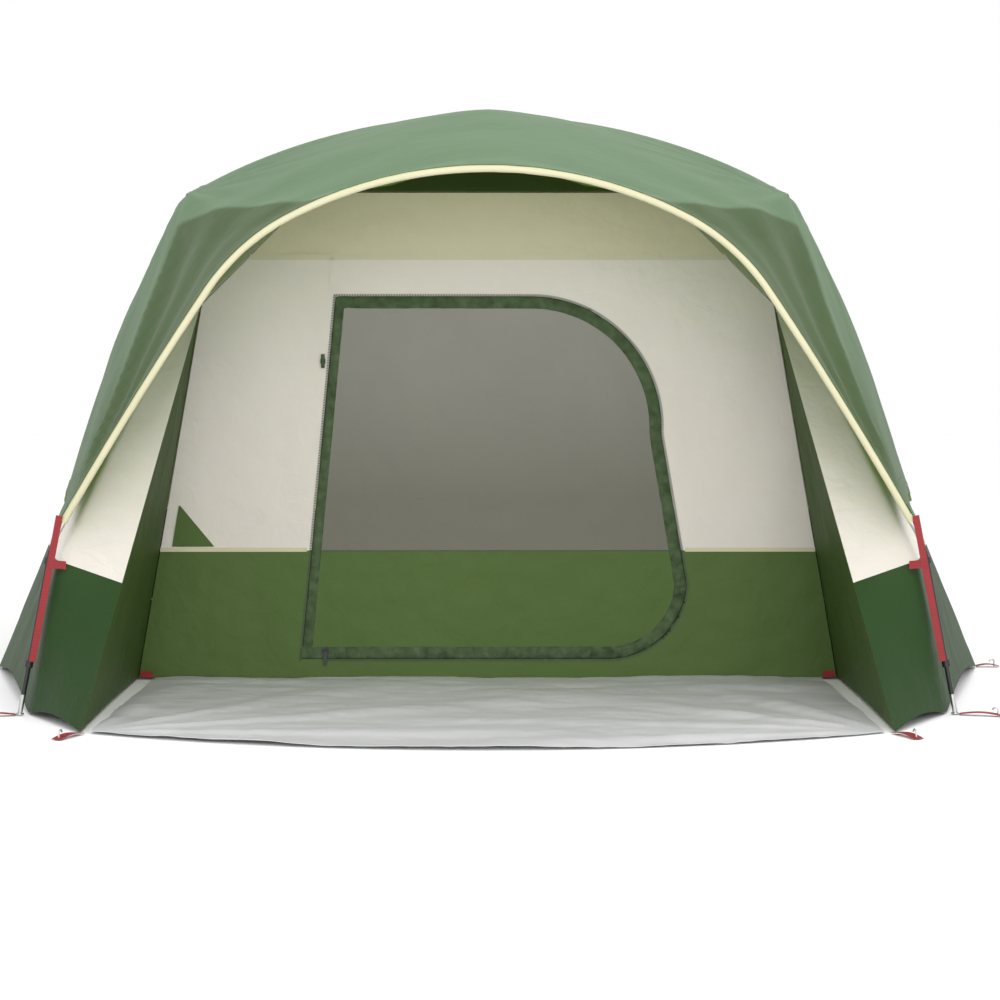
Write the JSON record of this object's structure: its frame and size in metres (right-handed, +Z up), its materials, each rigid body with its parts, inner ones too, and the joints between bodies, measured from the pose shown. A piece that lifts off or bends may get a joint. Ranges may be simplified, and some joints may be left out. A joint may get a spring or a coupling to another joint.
{
  "type": "camping tent",
  "caption": "Cabin tent with a recessed porch under an arched fly sheet, on crossing poles and a front arch pole, with a D-shaped mesh door that swings on its straight edge.",
  "frame": {"origin": "on the ground at the middle of the tent's length and width", "axes": "+X to the right as seen from the porch, +Y from the porch to the back, +Z up"},
  "size_m": [2.6632, 3.5998, 1.548],
  "materials": {
    "fly_cloth": "coated woven polyester, satin",
    "green_cloth": "coated woven polyester, satin",
    "cream_cloth": "uncoated woven polyester, matt",
    "mesh": "fine knitted mesh",
    "floor_sheet": "woven polyethylene sheet",
    "porch_sheet": "woven polyethylene sheet",
    "red_webbing": "flat woven webbing",
    "elastic": "braided elastic",
    "pole_glass_fibre": "pultruded glass fibre, semi-gloss",
    "black_plastic": "moulded, matt",
    "steel": "zinc plated wire and tube"
  },
  "bodies": {
    "tent": {"cabin_floor": "floor_sheet", "porch_sheet": "porch_sheet", "cabin_roof": "mesh", "front_lower": "green_cloth", "front_upper": "cream_cloth", "front_header": "cream_cloth", "rear_lower": "green_cloth", "rear_upper": "cream_cloth", "door_tie": "black_plastic", "fly_roof": "fly_cloth", "fly_gable": "fly_cloth", "front_sleeve": "cream_cloth", "crown_pad": "black_plastic", "wall_clips": "black_plastic", "peg_loops": "red_webbing", "pegs": "steel", "pole_tips": "steel", "foot_rings": "steel", "left_wing_lower": "green_cloth", "left_wing_upper": "cream_cloth", "left_side_lower": "green_cloth", "left_side_upper": "cream_cloth", "left_corner_strap": "red_webbing", "left_wing_clip": "black_plastic", "left_strap_clip": "black_plastic", "right_wing_lower": "green_cloth", "right_wing_upper": "cream_cloth", "right_side_lower": "green_cloth", "right_side_upper": "cream_cloth", "right_corner_strap": "red_webbing", "right_wing_clip": "black_plastic", "right_strap_clip": "black_plastic", "front_pole_rods": "pole_glass_fibre", "front_pole_ferrules": "steel", "front_pole_cord": "elastic", "main_pole_a_rods": "pole_glass_fibre", "main_pole_a_ferrules": "steel", "main_pole_a_cord": "elastic", "main_pole_b_rods": "pole_glass_fibre", "main_pole_b_ferrules": "steel", "main_pole_b_cord": "elastic"},
    "door": {"door_binding": "green_cloth", "door_mesh": "mesh", "door_lower": "green_cloth", "zip_slider": "black_plastic"},
    "puller": {"zip_puller": "black_plastic"},
    "flap": {"cable_flap": "green_cloth"}
  },
  "joints": [
    {"name": "door_swing", "type": "hinge", "parent": "tent", "child": "door", "pos_m": [-0.464, -0.627, 0.05], "axis": [-0.0962, 0, -0.9954], "range_deg": [0, 95]},
    {"name": "puller_flip", "type": "hinge", "parent": "door", "child": "puller", "pos_m": [-0.405, -0.6329, 0.071], "axis": [-1, 0, 0], "range_deg": [0, 160]},
    {"name": "flap_lift", "type": "hinge", "parent": "tent", "child": "flap", "pos_m": [-0.785, -0.6274, 0.33], "axis": [1, 0, 0], "range_deg": [0, 165]}
  ]
}
